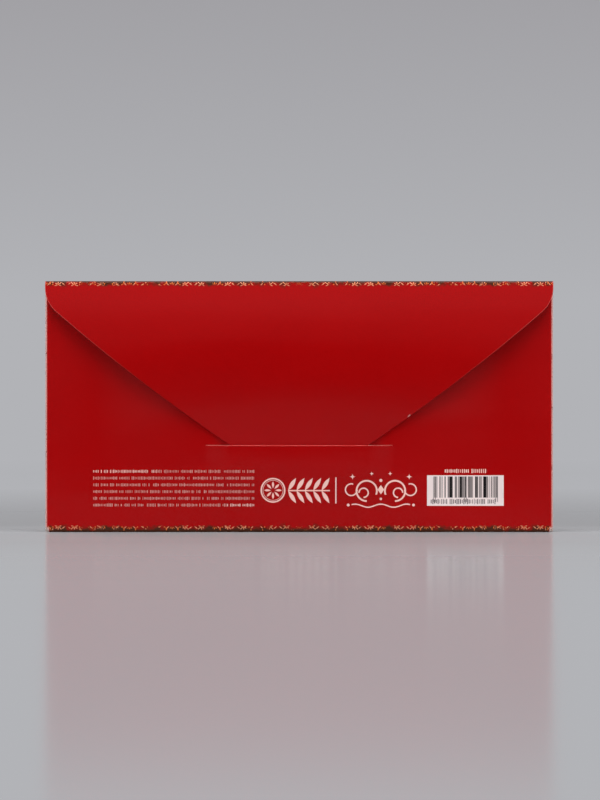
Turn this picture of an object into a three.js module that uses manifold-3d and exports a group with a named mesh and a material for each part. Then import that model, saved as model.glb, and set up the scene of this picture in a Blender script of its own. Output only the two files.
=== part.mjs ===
// Gift money envelope: one die-cut sheet of printed card, scored, folded and glued into a flat pocket,
// with a long tapered flap whose tongue tucks into a slit in the back panel.
// Millimetres, +Z up. The envelope stands on its bottom fold, and its flap side faces -Y.
// The origin is the centre of the box round the closed envelope, at its lowest face.
import * as THREE from "three";
import { mergeVertices } from "three/addons/utils/BufferGeometryUtils.js";
import Module from "manifold-3d";

const wasm = await Module();
wasm.setup();

// Driving dimensions of the folded envelope
const ENVELOPE_WIDTH = 165; // over the side folds
const ENVELOPE_HEIGHT = 81.5; // over the top and bottom folds
const CARD = 0.35; // thickness of the card
const GLUE = 0.08; // thickness of the glue between tab and back panel
const POCKET_AIR = 0.8; // free depth between the front panel and the side tabs

// Back panel
const BACK_INSET = 0.55; // its side edges stop short of the side folds
const BACK_TOP_GAP = 1.5; // its top edge, the mouth, lies this far under the top fold
const BACK_CORNER_RADIUS = 1.5;
const BACK_FOOT_RADIUS = 0.7; // rounds its lower corners, where it meets the bottom fold
const BACK_BULGE = 0.9; // how far its middle springs out from the pocket
const BULGE_TAB_GAP = 2.75; // the bulge stays this far from the glued tabs

// Slit that holds the tongue
const SLIT_HEIGHT = 28.2; // above the bottom fold
const SLIT_SIDE_PLAY = 7.9; // from the tongue's edge to the slit's end
const SLIT_KERF = 0.2;
const UPPER_LIP_SINK = 0.4; // the card above the slit is pushed into the pocket
const UPPER_LIP_REACH = 14; // the card above the slit is straight again this far up
const LOWER_LIP_END = 5.5; // the card below the slit is straight again this far above the bottom fold

// Closing flap and its tongue
const FLAP_CLEARANCE = 0.1; // between the flap and the mouth of the pocket
const FLAP_SPRING_ANGLE = 10; // degrees by which the flap leaves its fold outwards
const FLAP_ENTRY_ANGLE = 4.5; // degrees by which the flap enters the slit inwards
const FLAP_SHOULDER_DEPTH = 6.8; // from the top fold to where side and flank would meet
const FLAP_SHOULDER_ROUND = 5; // length of the rounding along side and flank
const FLAP_SLIT_WIDTH = 44.7; // width of the flap where it enters the slit
const FLANK_BULGE = 1.1; // how far the curved flank stands out from a straight cut
const TONGUE_LENGTH = 9;
const TONGUE_TIP_WIDTH = 22;
const TONGUE_CORNER = 4;
const TONGUE_CLEARANCE = 0.15; // between the tongue and each lip of the slit

// Folds
const BOTTOM_FOLD_RADIUS = 0.45; // to the middle of the card, at each edge of the flat bottom fold
const CORNER_RELIEF = 1.0; // the side folds stop short of the top and bottom folds

// Side tabs, folded in behind the back panel and glued to it
const TAB_WIDTH = 12;
const TAB_END_TAPER = 4;
const TAB_CORNER = 2;
const GLUE_WIDTH = 4;
const GLUE_EDGE_GAP = 2.5; // from the tab's fold to the glue
const GLUE_END_GAP = 6; // from the tab's ends to the glue

const ARC_STEPS = 10;
const BOW_STEPS = 20;
const BACK_GRID = { tongue: 2, slitEnd: 6, side: 7, belowSlit: 9, upperLip: 6, mouth: 6 };
const WELD_DISTANCE = 1e-5;

// Depths are counted from the outer face of the front panel, backwards through the pocket
const tabInner = CARD + POCKET_AIR;
const tabOuter = tabInner + CARD;
const backInner = tabOuter + GLUE;
const backOuter = backInner + CARD;

// Heights and half widths that follow
const halfWidth = ENVELOPE_WIDTH / 2;
const topFoldRadius = (backOuter + FLAP_CLEARANCE) / 2;
const topFoldCentreZ = ENVELOPE_HEIGHT - topFoldRadius - CARD / 2;
const bottomFoldTop = BOTTOM_FOLD_RADIUS + CARD / 2;
const backHalfWidth = halfWidth - BACK_INSET;
const backTop = ENVELOPE_HEIGHT - BACK_TOP_GAP;
const footHalfWidth = backHalfWidth - BACK_FOOT_RADIUS;
const sideFoldRadius = (POCKET_AIR + CARD) / 2;
const sideFoldX = halfWidth - sideFoldRadius - CARD / 2;
const sideFoldBottom = bottomFoldTop + CORNER_RELIEF;
const sideFoldTop = topFoldCentreZ - CORNER_RELIEF;
const tabFreeX = sideFoldX - TAB_WIDTH;
const bulgeHalf = tabFreeX - BULGE_TAB_GAP;
const flapSlitHalf = FLAP_SLIT_WIDTH / 2;
const lipHalf = flapSlitHalf + TONGUE_CLEARANCE;
const slitHalf = flapSlitHalf + SLIT_SIDE_PLAY;
const lowerLipReach = SLIT_HEIGHT - bottomFoldTop - LOWER_LIP_END;
const shoulderZ = ENVELOPE_HEIGHT - FLAP_SHOULDER_DEPTH;

const smooth = (t) => {
  const c = Math.min(Math.max(t, 0), 1);
  return c * c * (3 - 2 * c);
};

// The back panel springs out in the middle and lies flat at its glued sides, mouth and bottom fold.
// Across the tongue it is straight, so that the tongue lies flat against it.
function bulgeAt(x, z) {
  const across = smooth((bulgeHalf - Math.abs(x)) / (bulgeHalf - lipHalf));
  const up = Math.sin((Math.PI * (z - bottomFoldTop)) / (backTop - bottomFoldTop));
  return BACK_BULGE * across * Math.max(up, 0);
}

// The lips of the slit part by the card's thickness, the tongue's and its clearances
const lowerLipLift = 2 * CARD + 2 * TONGUE_CLEARANCE - UPPER_LIP_SINK;
function lipAt(x, z, below) {
  const along = smooth((slitHalf - Math.abs(x)) / (slitHalf - lipHalf));
  if (below) return lowerLipLift * along * smooth(1 - (SLIT_HEIGHT - z) / lowerLipReach);
  return -UPPER_LIP_SINK * along * smooth(1 - (z - SLIT_HEIGHT) / UPPER_LIP_REACH);
}
const backDepthAt = (x, z, below) => backOuter + bulgeAt(x, z) + lipAt(x, z, below);

// Side view of the flap, in (depth, height): the top fold's arc, a springy bow and the tongue.
// The bow leaves the fold at the spring angle and meets the middle of the slit at the entry angle.
const springAngle = THREE.MathUtils.degToRad(FLAP_SPRING_ANGLE);
const entryAngle = THREE.MathUtils.degToRad(FLAP_ENTRY_ANGLE);
const topFoldCentre = new THREE.Vector2(CARD / 2 + topFoldRadius, topFoldCentreZ);
const bowStart = new THREE.Vector2(Math.cos(springAngle), Math.sin(springAngle))
  .multiplyScalar(topFoldRadius)
  .add(topFoldCentre);
const bowEnd = new THREE.Vector2(
  backOuter + bulgeAt(0, SLIT_HEIGHT) - UPPER_LIP_SINK + TONGUE_CLEARANCE + CARD / 2,
  SLIT_HEIGHT,
);
const thirdOfBow = bowStart.distanceTo(bowEnd) / 3;
const bow = new THREE.CubicBezierCurve(
  bowStart,
  new THREE.Vector2(Math.sin(springAngle), -Math.cos(springAngle)).multiplyScalar(thirdOfBow).add(bowStart),
  new THREE.Vector2(Math.sin(entryAngle), Math.cos(entryAngle)).multiplyScalar(thirdOfBow).add(bowEnd),
  bowEnd,
);

// One face of the bowed card: points half a card's thickness to one side of its middle
function bowFace(side) {
  return Array.from({ length: BOW_STEPS + 1 }, (_, i) => {
    const along = bow.getTangent(i / BOW_STEPS);
    const across = new THREE.Vector2(-along.y, along.x).multiplyScalar((side * CARD) / 2);
    return bow.getPoint(i / BOW_STEPS).add(across);
  });
}
const outerBow = bowFace(1);
const innerBow = bowFace(-1);

// The tongue enters the slit at the bow's slant and bends back to lie along the pocket
const tongueRadius = TONGUE_LENGTH / entryAngle;
const tongueCentre = new THREE.Vector2(Math.cos(entryAngle), -Math.sin(entryAngle))
  .multiplyScalar(tongueRadius)
  .add(bowEnd);

// The bow's outermost point sets the depth of the closed envelope, and so the frame's Y
const envelopeDepth = Math.max(...outerBow.map((point) => point.x));
const yAt = (depth) => envelopeDepth / 2 - depth;

const PRINTED_RED = { color: 0x9a0a0d, roughness: 0.35, metalness: 0 };
const CARD_CORE = { color: 0xe9ded6, roughness: 0.85, metalness: 0 };
const DRIED_GLUE = { color: 0xe6dfc8, roughness: 0.4, metalness: 0 };

// Extrudes a section drawn in (depth, height) across the envelope's width
function acrossWidth(section, halfLength) {
  const points = section.getPoints(ARC_STEPS).map((p) => new THREE.Vector2(yAt(p.x), p.y));
  const geometry = new THREE.ExtrudeGeometry(new THREE.Shape(points), {
    depth: 2 * halfLength,
    bevelEnabled: false,
  });
  const axes = new THREE.Matrix4().makeBasis(
    new THREE.Vector3(0, 1, 0),
    new THREE.Vector3(0, 0, 1),
    new THREE.Vector3(1, 0, 0),
  );
  return geometry.applyMatrix4(axes).translate(-halfLength, 0, 0);
}

// Extrudes an outline drawn in (x, height) from one depth to a deeper one
function throughDepth(outline, fromDepth, toDepth) {
  const geometry = new THREE.ExtrudeGeometry(outline, {
    depth: toDepth - fromDepth,
    bevelEnabled: false,
    curveSegments: ARC_STEPS,
  });
  const axes = new THREE.Matrix4().makeBasis(
    new THREE.Vector3(1, 0, 0),
    new THREE.Vector3(0, 0, 1),
    new THREE.Vector3(0, -1, 0),
  );
  return geometry.applyMatrix4(axes).translate(0, yAt(fromDepth), 0);
}

function toSolid(geometry) {
  const bare = geometry.clone();
  bare.deleteAttribute("normal");
  bare.deleteAttribute("uv");
  const merged = mergeVertices(bare, WELD_DISTANCE);
  return new wasm.Manifold(
    new wasm.Mesh({
      numProp: 3,
      vertProperties: merged.getAttribute("position").array,
      triVerts: new Uint32Array(merged.index.array),
    }),
  );
}

function toGeometry(solid) {
  const mesh = solid.getMesh();
  return new THREE.BufferGeometry()
    .setAttribute("position", new THREE.BufferAttribute(new Float32Array(mesh.vertProperties), 3))
    .setIndex(new THREE.BufferAttribute(new Uint32Array(mesh.triVerts), 1));
}

const cutTo = (geometry, outline) => toGeometry(toSolid(geometry).intersect(toSolid(outline)));

function piece(name, geometry, finish) {
  const mesh = new THREE.Mesh(geometry, new THREE.MeshStandardMaterial(finish));
  mesh.name = name;
  return mesh;
}

// A band of card in side view, between two angles of a circle, from the first to the second
function arcBand(centre, radius, fromAngle, toAngle) {
  const clockwise = toAngle < fromAngle;
  const band = new THREE.Shape();
  band.absarc(centre.x, centre.y, radius + CARD / 2, fromAngle, toAngle, clockwise);
  band.absarc(centre.x, centre.y, radius - CARD / 2, toAngle, fromAngle, !clockwise);
  return band;
}

// The front panel reaches the full width only between the folds' ends, as the die cuts it
function frontPanel() {
  const outline = new THREE.Shape();
  outline.moveTo(-halfWidth, bottomFoldTop);
  outline.lineTo(halfWidth, bottomFoldTop);
  outline.lineTo(halfWidth, sideFoldBottom);
  outline.lineTo(sideFoldX, sideFoldBottom);
  outline.lineTo(sideFoldX, sideFoldTop);
  outline.lineTo(halfWidth, sideFoldTop);
  outline.lineTo(halfWidth, topFoldCentreZ);
  outline.lineTo(-halfWidth, topFoldCentreZ);
  outline.lineTo(-halfWidth, sideFoldTop);
  outline.lineTo(-sideFoldX, sideFoldTop);
  outline.lineTo(-sideFoldX, sideFoldBottom);
  outline.lineTo(-halfWidth, sideFoldBottom);
  return piece("front_panel", throughDepth(outline, 0, CARD), PRINTED_RED);
}

// Side fold: a half ring standing between the front panel's edge and the tab's
function sideFold(side) {
  const section = arcBand(
    new THREE.Vector2(sideFoldX, yAt(CARD / 2 + sideFoldRadius)),
    sideFoldRadius,
    -Math.PI / 2,
    Math.PI / 2,
  );
  const geometry = new THREE.ExtrudeGeometry(section, {
    depth: sideFoldTop - sideFoldBottom,
    bevelEnabled: false,
    curveSegments: ARC_STEPS,
  }).translate(0, 0, sideFoldBottom);
  if (side < 0) geometry.rotateZ(Math.PI).translate(0, 2 * yAt(CARD / 2 + sideFoldRadius), 0);
  return geometry;
}

// Tab outline: full length at its fold, tapered ends and rounded corners at its free edge
function tabOutline(side) {
  const root = side * sideFoldX;
  const free = side * tabFreeX;
  const inwards = Math.sign(root - free);
  const outline = new THREE.Shape();
  outline.moveTo(root, sideFoldBottom);
  outline.lineTo(root, sideFoldTop);
  outline.lineTo(free + inwards * TAB_CORNER, sideFoldTop - TAB_END_TAPER);
  outline.quadraticCurveTo(
    free, sideFoldTop - TAB_END_TAPER,
    free, sideFoldTop - TAB_END_TAPER - TAB_CORNER,
  );
  outline.lineTo(free, sideFoldBottom + TAB_END_TAPER + TAB_CORNER);
  outline.quadraticCurveTo(
    free, sideFoldBottom + TAB_END_TAPER,
    free + inwards * TAB_CORNER, sideFoldBottom + TAB_END_TAPER,
  );
  return outline;
}

// Glue: a long bead with round ends, pressed flat between the tab and the back panel
function glueOutline(side) {
  const radius = GLUE_WIDTH / 2;
  const middle = side * (sideFoldX - GLUE_EDGE_GAP - radius);
  const outline = new THREE.Shape();
  outline.absarc(middle, sideFoldTop - GLUE_END_GAP - radius, radius, 0, Math.PI, false);
  outline.absarc(middle, sideFoldBottom + GLUE_END_GAP + radius, radius, Math.PI, 2 * Math.PI, false);
  return outline;
}

// Bottom fold: two tight scores with a narrow flat between them, which the envelope stands on
function bottomFold() {
  const outer = bottomFoldTop;
  const inner = BOTTOM_FOLD_RADIUS - CARD / 2;
  const nearCentre = bottomFoldTop;
  const farCentre = backOuter - bottomFoldTop;
  const section = new THREE.Shape();
  section.moveTo(0, bottomFoldTop);
  section.absarc(nearCentre, bottomFoldTop, outer, Math.PI, 1.5 * Math.PI, false);
  section.absarc(farCentre, bottomFoldTop, outer, 1.5 * Math.PI, 2 * Math.PI, false);
  section.lineTo(backInner, bottomFoldTop);
  section.absarc(farCentre, bottomFoldTop, inner, 2 * Math.PI, 1.5 * Math.PI, true);
  section.absarc(nearCentre, bottomFoldTop, inner, 1.5 * Math.PI, Math.PI, true);
  return piece("bottom_fold", acrossWidth(section, footHalfWidth), PRINTED_RED);
}

function topFold() {
  const section = arcBand(topFoldCentre, topFoldRadius, Math.PI, springAngle);
  return piece("top_fold", acrossWidth(section, halfWidth), PRINTED_RED);
}

const steps = (from, to, count) =>
  Array.from({ length: count + 1 }, (_, i) => from + ((to - from) * i) / count);

// A thin curved shell on a grid, with square corners, open along the slit
function backShell() {
  const right = [
    ...steps(0, lipHalf, BACK_GRID.tongue),
    ...steps(lipHalf, slitHalf, BACK_GRID.slitEnd).slice(1),
    ...steps(slitHalf, bulgeHalf, BACK_GRID.side).slice(1),
    backHalfWidth,
  ];
  const xs = [...right.slice(1).reverse().map((x) => -x), ...right];
  const slitBottom = SLIT_HEIGHT - SLIT_KERF / 2;
  const slitTop = SLIT_HEIGHT + SLIT_KERF / 2;
  const lipTop = SLIT_HEIGHT + UPPER_LIP_REACH;
  const zs = [
    ...steps(bottomFoldTop, slitBottom, BACK_GRID.belowSlit),
    ...steps(slitTop, lipTop, BACK_GRID.upperLip),
    ...steps(lipTop, backTop, BACK_GRID.mouth).slice(1),
  ];
  const slitRow = zs.indexOf(slitBottom);
  const open = (i, j) => j === slitRow && Math.abs(xs[i] + xs[i + 1]) / 2 < slitHalf;
  const positions = [];
  for (const offset of [0, CARD])
    for (const [j, z] of zs.entries())
      for (const x of xs) positions.push(x, yAt(backDepthAt(x, z, j <= slitRow) - offset), z);
  const outer = (i, j) => j * xs.length + i;
  const inner = (i, j) => outer(i, j) + xs.length * zs.length;
  const inside = (i, j) => i >= 0 && j >= 0 && i < xs.length - 1 && j < zs.length - 1 && !open(i, j);
  const index = [];
  const quad = (a, b, c, d) => index.push(a, b, c, a, c, d);
  for (let j = 0; j < zs.length - 1; j++)
    for (let i = 0; i < xs.length - 1; i++) {
      if (!inside(i, j)) continue;
      quad(outer(i, j), outer(i + 1, j), outer(i + 1, j + 1), outer(i, j + 1));
      quad(inner(i, j), inner(i, j + 1), inner(i + 1, j + 1), inner(i + 1, j));
      if (!inside(i, j - 1)) quad(outer(i, j), inner(i, j), inner(i + 1, j), outer(i + 1, j));
      if (!inside(i, j + 1))
        quad(outer(i + 1, j + 1), inner(i + 1, j + 1), inner(i, j + 1), outer(i, j + 1));
      if (!inside(i - 1, j)) quad(outer(i, j + 1), inner(i, j + 1), inner(i, j), outer(i, j));
      if (!inside(i + 1, j))
        quad(outer(i + 1, j), inner(i + 1, j), inner(i + 1, j + 1), outer(i + 1, j + 1));
    }
  return new THREE.BufferGeometry()
    .setAttribute("position", new THREE.BufferAttribute(new Float32Array(positions), 3))
    .setIndex(index);
}

// The die's outline: it rounds the four corners and passes well clear of the edges between them
function backPanel() {
  const cornerX = backHalfWidth - BACK_CORNER_RADIUS;
  const cornerZ = backTop - BACK_CORNER_RADIUS;
  const footZ = bottomFoldTop + BACK_FOOT_RADIUS;
  const clear = ENVELOPE_WIDTH;
  const outline = new THREE.Shape();
  outline.moveTo(-footHalfWidth, -clear);
  outline.lineTo(footHalfWidth, -clear);
  outline.absarc(footHalfWidth, footZ, BACK_FOOT_RADIUS, -Math.PI / 2, 0, false);
  outline.lineTo(clear, footZ);
  outline.lineTo(clear, cornerZ);
  outline.absarc(cornerX, cornerZ, BACK_CORNER_RADIUS, 0, Math.PI / 2, false);
  outline.lineTo(cornerX, clear);
  outline.lineTo(-cornerX, clear);
  outline.absarc(-cornerX, cornerZ, BACK_CORNER_RADIUS, Math.PI / 2, Math.PI, false);
  outline.lineTo(-clear, cornerZ);
  outline.lineTo(-clear, footZ);
  outline.absarc(-footHalfWidth, footZ, BACK_FOOT_RADIUS, Math.PI, 1.5 * Math.PI, false);
  const die = throughDepth(outline, 0, envelopeDepth);
  return piece("back_panel", cutTo(backShell(), die), PRINTED_RED);
}

// Flap outline seen from the back: square at the fold, rounded shoulders, gently curved flanks.
// A quadratic curve bulges half as far as its control point.
function flapOutline() {
  const shoulder = new THREE.Vector2(halfWidth, shoulderZ);
  const foot = new THREE.Vector2(flapSlitHalf, SLIT_HEIGHT);
  const along = foot.clone().sub(shoulder);
  const outwards = new THREE.Vector2(-along.y, along.x).normalize();
  const middle = shoulder.clone().add(foot).multiplyScalar(0.5);
  const pull = middle.addScaledVector(outwards, 2 * FLANK_BULGE);
  const flank = pull.clone().sub(shoulder).normalize();
  const flankStart = shoulder.clone().addScaledVector(flank, FLAP_SHOULDER_ROUND);
  const overrun = foot.clone().sub(pull).setLength(TONGUE_LENGTH).add(foot);
  const top = ENVELOPE_HEIGHT + CARD;
  const outline = new THREE.Shape();
  outline.moveTo(halfWidth, top);
  outline.lineTo(-halfWidth, top);
  outline.lineTo(-halfWidth, shoulder.y + FLAP_SHOULDER_ROUND);
  outline.quadraticCurveTo(-shoulder.x, shoulder.y, -flankStart.x, flankStart.y);
  outline.quadraticCurveTo(-pull.x, pull.y, -foot.x, foot.y);
  outline.lineTo(-overrun.x, overrun.y);
  outline.lineTo(overrun.x, overrun.y);
  outline.lineTo(foot.x, foot.y);
  outline.quadraticCurveTo(pull.x, pull.y, flankStart.x, flankStart.y);
  outline.quadraticCurveTo(shoulder.x, shoulder.y, shoulder.x, shoulder.y + FLAP_SHOULDER_ROUND);
  return outline;
}

function closingFlap() {
  const section = new THREE.Shape([...outerBow, ...innerBow.toReversed()]);
  const blank = acrossWidth(section, halfWidth + CARD);
  const outline = throughDepth(flapOutline(), -CARD, envelopeDepth + CARD);
  return piece("closing_flap", cutTo(blank, outline), PRINTED_RED);
}

// Tongue: the flap's tapered end, tucked in behind the lower lip of the slit
function flapTongue() {
  const band = arcBand(tongueCentre, tongueRadius, Math.PI - entryAngle, Math.PI);
  const tip = new THREE.Vector2(TONGUE_TIP_WIDTH / 2, tongueCentre.y);
  const flank = new THREE.Vector2(flapSlitHalf, SLIT_HEIGHT).sub(tip);
  const cornerStart = tip.clone().addScaledVector(flank, TONGUE_CORNER / flank.length());
  const root = tip.clone().addScaledVector(flank, 1 + CARD / flank.length());
  const outline = new THREE.Shape();
  outline.moveTo(root.x, root.y);
  outline.lineTo(-root.x, root.y);
  outline.lineTo(-cornerStart.x, cornerStart.y);
  outline.quadraticCurveTo(-tip.x, tip.y, -tip.x + TONGUE_CORNER, tip.y);
  outline.lineTo(tip.x - TONGUE_CORNER, tip.y);
  outline.quadraticCurveTo(tip.x, tip.y, cornerStart.x, cornerStart.y);
  const blank = acrossWidth(band, flapSlitHalf + CARD);
  return piece("flap_tongue", cutTo(blank, throughDepth(outline, 0, envelopeDepth)), PRINTED_RED);
}

function gluedSide(name, side) {
  const tab = throughDepth(tabOutline(side), tabInner, tabOuter);
  const glue = throughDepth(glueOutline(side), tabOuter, backInner);
  return [
    piece(`${name}_fold`, sideFold(side), PRINTED_RED),
    piece(`${name}_glue_tab`, tab, CARD_CORE),
    piece(`${name}_glue_line`, glue, DRIED_GLUE),
  ];
}

const moneyEnvelope = new THREE.Group();
moneyEnvelope.add(frontPanel(), bottomFold(), backPanel(), topFold(), closingFlap(), flapTongue());
moneyEnvelope.add(...gluedSide("left", -1), ...gluedSide("right", 1));

export default moneyEnvelope;
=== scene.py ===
import math

import bmesh
import bpy
import numpy as np
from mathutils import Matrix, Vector


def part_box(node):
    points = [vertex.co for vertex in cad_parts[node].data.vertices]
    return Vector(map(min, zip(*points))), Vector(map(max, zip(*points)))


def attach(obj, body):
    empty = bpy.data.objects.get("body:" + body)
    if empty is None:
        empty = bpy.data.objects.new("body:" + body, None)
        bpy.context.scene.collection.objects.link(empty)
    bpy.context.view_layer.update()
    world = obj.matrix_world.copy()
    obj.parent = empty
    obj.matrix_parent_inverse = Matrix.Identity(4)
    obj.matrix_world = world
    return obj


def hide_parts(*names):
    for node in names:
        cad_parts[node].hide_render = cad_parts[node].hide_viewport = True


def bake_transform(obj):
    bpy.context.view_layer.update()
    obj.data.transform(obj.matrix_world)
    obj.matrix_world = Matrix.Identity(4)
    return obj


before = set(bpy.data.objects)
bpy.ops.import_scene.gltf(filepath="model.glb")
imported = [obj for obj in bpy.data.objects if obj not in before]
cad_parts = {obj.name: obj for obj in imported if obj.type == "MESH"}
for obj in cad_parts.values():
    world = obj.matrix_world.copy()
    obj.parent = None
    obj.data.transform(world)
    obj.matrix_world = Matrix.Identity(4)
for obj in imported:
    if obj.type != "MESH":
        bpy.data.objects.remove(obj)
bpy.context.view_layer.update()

# A money envelope: one sheet of glossy printed card, die-cut, folded and glued into a flat pocket.
# Each piece is drawn flat on the die sheet, in millimetres, and then laid on the folded envelope:
# u runs across the sheet, v runs up the front, over the top fold and down the flap, and below
# the front it runs on through the bottom fold and up the back.

MM = 0.001


def cad_box(node):
    """The lowest and the highest corner of a CAD node, in millimetres."""
    low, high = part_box(node)
    return low / MM, high / MM


# Sizes that the frame gives. Depths are counted from the outer face of the front panel.
front_low, front_high = cad_box("front_panel")
back_high = cad_box("back_panel")[1]
bottom_low, bottom_high = cad_box("bottom_fold")
top_high = cad_box("top_fold")[1]
side_low, side_high = cad_box("right_fold")

FRONT_Y = front_high.y
CARD = front_high.y - front_low.y
HALF_WIDTH = front_high.x
BACK_HALF_WIDTH = back_high.x
FOOT_HALF_WIDTH = bottom_high.x
BACK_TOP = back_high.z
BACK_DEPTH = FRONT_Y - bottom_low.y
BOTTOM_FOLD_TOP = bottom_high.z
BOTTOM_FOLD_RADIUS = BOTTOM_FOLD_TOP - CARD / 2
TOP_FOLD_CENTRE_Z = front_high.z
TOP_FOLD_RADIUS = top_high.z - TOP_FOLD_CENTRE_Z - CARD / 2
SIDE_FOLD_X = side_low.x
SIDE_FOLD_BOTTOM = side_low.z
SIDE_FOLD_TOP = side_high.z
SIDE_FOLD_RADIUS = (side_high.y - side_low.y - CARD) / 2

# Driving dimensions of the flap, its slit and the springy back, as the envelope is cut
BACK_CORNER_RADIUS = 1.5
BACK_BULGE = 0.9
BULGE_HALF = 67.0
SLIT_HEIGHT = 28.2
SLIT_KERF = 0.06
SLIT_SIDE_PLAY = 7.9
UPPER_LIP_SINK = 0.4
UPPER_LIP_REACH = 14.0
LOWER_LIP_END = 5.5
LOWER_LIP_FLAT = 5.0
LIP_END_SHARE = 0.25
LIP_END_RISE = 3.0
LIP_END_REACH = 5.0
FLAP_SPRING_ANGLE = math.radians(10)
FLAP_ENTRY_ANGLE = math.radians(4.5)
FLAP_SHOULDER_DEPTH = 6.8
FLAP_SHOULDER_ROUND = 5.0
FLAP_SLIT_HALF = 22.35
FLANK_BULGE = 1.1
TONGUE_LENGTH = 9.0
TONGUE_TIP_HALF = 11.0
TONGUE_CORNER = 4.0
TONGUE_CLEARANCE = 0.15

# The knife leaves the cut edges of the card softly rounded
EDGE_ROUND = 0.1
EDGE_SHARE = 0.3
SEAM_TOLERANCE = 1e-4

# Corners of the front panel reach down beside the bottom fold
TIP_GAP = 0.06
TIP_BOTTOM = 0.12

LIP_HALF = FLAP_SLIT_HALF + TONGUE_CLEARANCE
SLIT_HALF = FLAP_SLIT_HALF + SLIT_SIDE_PLAY
LOWER_LIP_REACH = SLIT_HEIGHT - BOTTOM_FOLD_TOP - LOWER_LIP_END
LOWER_LIP_LIFT = 2 * CARD + 2 * TONGUE_CLEARANCE - UPPER_LIP_SINK

# Lengths along the sheet, and where the parts of the sheet begin on it
BOTTOM_QUARTER = BOTTOM_FOLD_RADIUS * math.pi / 2
BOTTOM_FLAT = BACK_DEPTH - 2 * BOTTOM_FOLD_TOP
BACK_START_V = BOTTOM_FOLD_TOP - 2 * BOTTOM_QUARTER - BOTTOM_FLAT
FOOT_CORNER_RADIUS = BACK_HALF_WIDTH - FOOT_HALF_WIDTH
FLAP_START_V = TOP_FOLD_CENTRE_Z + TOP_FOLD_RADIUS * (math.pi - FLAP_SPRING_ANGLE)
SIDE_FOLD_LENGTH = SIDE_FOLD_RADIUS * math.pi


def smooth(t):
    c = min(max(t, 0.0), 1.0)
    return c * c * (3 - 2 * c)


def bulge_at(x, z):
    """How far the back panel springs outwards: most in the middle, nothing at its edges."""
    across = smooth((BULGE_HALF - abs(x)) / (BULGE_HALF - LIP_HALF))
    up = math.sin(math.pi * (z - BOTTOM_FOLD_TOP) / (BACK_TOP - BOTTOM_FOLD_TOP))
    return BACK_BULGE * across * max(up, 0.0)


def lip_at(x, z):
    """The two lips of the slit part: the lower one lifts outwards, the upper one sinks."""
    from_end = SLIT_HALF - abs(x)
    along = smooth(from_end / (SLIT_HALF - LIP_HALF))
    if z < SLIT_HEIGHT:
        below = SLIT_HEIGHT - z
        end_share = LIP_END_SHARE * smooth(1 - below / LIP_END_REACH)
        along += end_share * (smooth(from_end / LIP_END_RISE) - along)
        fade = smooth((LOWER_LIP_REACH - below) / (LOWER_LIP_REACH - LOWER_LIP_FLAT))
        return LOWER_LIP_LIFT * along * fade
    return -UPPER_LIP_SINK * along * smooth(1 - (z - SLIT_HEIGHT) / UPPER_LIP_REACH)


# Side view of the flap, as (depth, height): it leaves the fold at the spring angle, bows out and
# meets the slit at the entry angle, where the tongue bends back along the pocket
top_fold_centre = np.array([CARD / 2 + TOP_FOLD_RADIUS, TOP_FOLD_CENTRE_Z])
bow_start = top_fold_centre + TOP_FOLD_RADIUS * np.array(
    [math.cos(FLAP_SPRING_ANGLE), math.sin(FLAP_SPRING_ANGLE)]
)
bow_end = np.array(
    [BACK_DEPTH + bulge_at(0, SLIT_HEIGHT) - UPPER_LIP_SINK + TONGUE_CLEARANCE + CARD / 2, SLIT_HEIGHT]
)
third = np.linalg.norm(bow_end - bow_start) / 3
bow_handles = (
    bow_start,
    bow_start + third * np.array([math.sin(FLAP_SPRING_ANGLE), -math.cos(FLAP_SPRING_ANGLE)]),
    bow_end + third * np.array([math.sin(FLAP_ENTRY_ANGLE), math.cos(FLAP_ENTRY_ANGLE)]),
    bow_end,
)
BOW_SAMPLES = 400


def bow_point(t):
    a, b, c, d = bow_handles
    return (1 - t) ** 3 * a + 3 * (1 - t) ** 2 * t * b + 3 * (1 - t) * t**2 * c + t**3 * d


def bow_direction(t):
    a, b, c, d = bow_handles
    slope = (1 - t) ** 2 * (b - a) + 2 * (1 - t) * t * (c - b) + t**2 * (d - c)
    return slope / np.linalg.norm(slope)


bow_ts = np.linspace(0, 1, BOW_SAMPLES + 1)
bow_points = np.array([bow_point(t) for t in bow_ts])
bow_lengths = np.concatenate([[0], np.cumsum(np.linalg.norm(np.diff(bow_points, axis=0), axis=1))])
SLIT_V = FLAP_START_V + bow_lengths[-1]

tongue_radius = TONGUE_LENGTH / FLAP_ENTRY_ANGLE
tongue_centre = bow_end + tongue_radius * np.array(
    [math.cos(FLAP_ENTRY_ANGLE), -math.sin(FLAP_ENTRY_ANGLE)]
)


# Where a point of the flat sheet lies on the folded envelope, as (x, depth, height).
# under counts through the card, from 0 on the printed face to CARD on the bare one.
def on_front(u, v, under):
    return u, under, v


def on_bottom_fold(u, v, under):
    s = BOTTOM_FOLD_TOP - v
    radius = BOTTOM_FOLD_TOP - under
    if s <= BOTTOM_QUARTER:
        angle = math.pi + s / BOTTOM_FOLD_RADIUS
        centre = BOTTOM_FOLD_TOP
    elif s <= BOTTOM_QUARTER + BOTTOM_FLAT:
        return u, BOTTOM_FOLD_TOP + s - BOTTOM_QUARTER, under
    else:
        angle = 1.5 * math.pi + (s - BOTTOM_QUARTER - BOTTOM_FLAT) / BOTTOM_FOLD_RADIUS
        centre = BACK_DEPTH - BOTTOM_FOLD_TOP
    return u, centre + radius * math.cos(angle), BOTTOM_FOLD_TOP + radius * math.sin(angle)


def height_on_back(v):
    return BOTTOM_FOLD_TOP + BACK_START_V - v


def v_on_back(height):
    return BOTTOM_FOLD_TOP + BACK_START_V - height


def on_back(u, v, under):
    z = height_on_back(v)
    return u, BACK_DEPTH + bulge_at(u, z) + lip_at(u, z) - under, z


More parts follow.
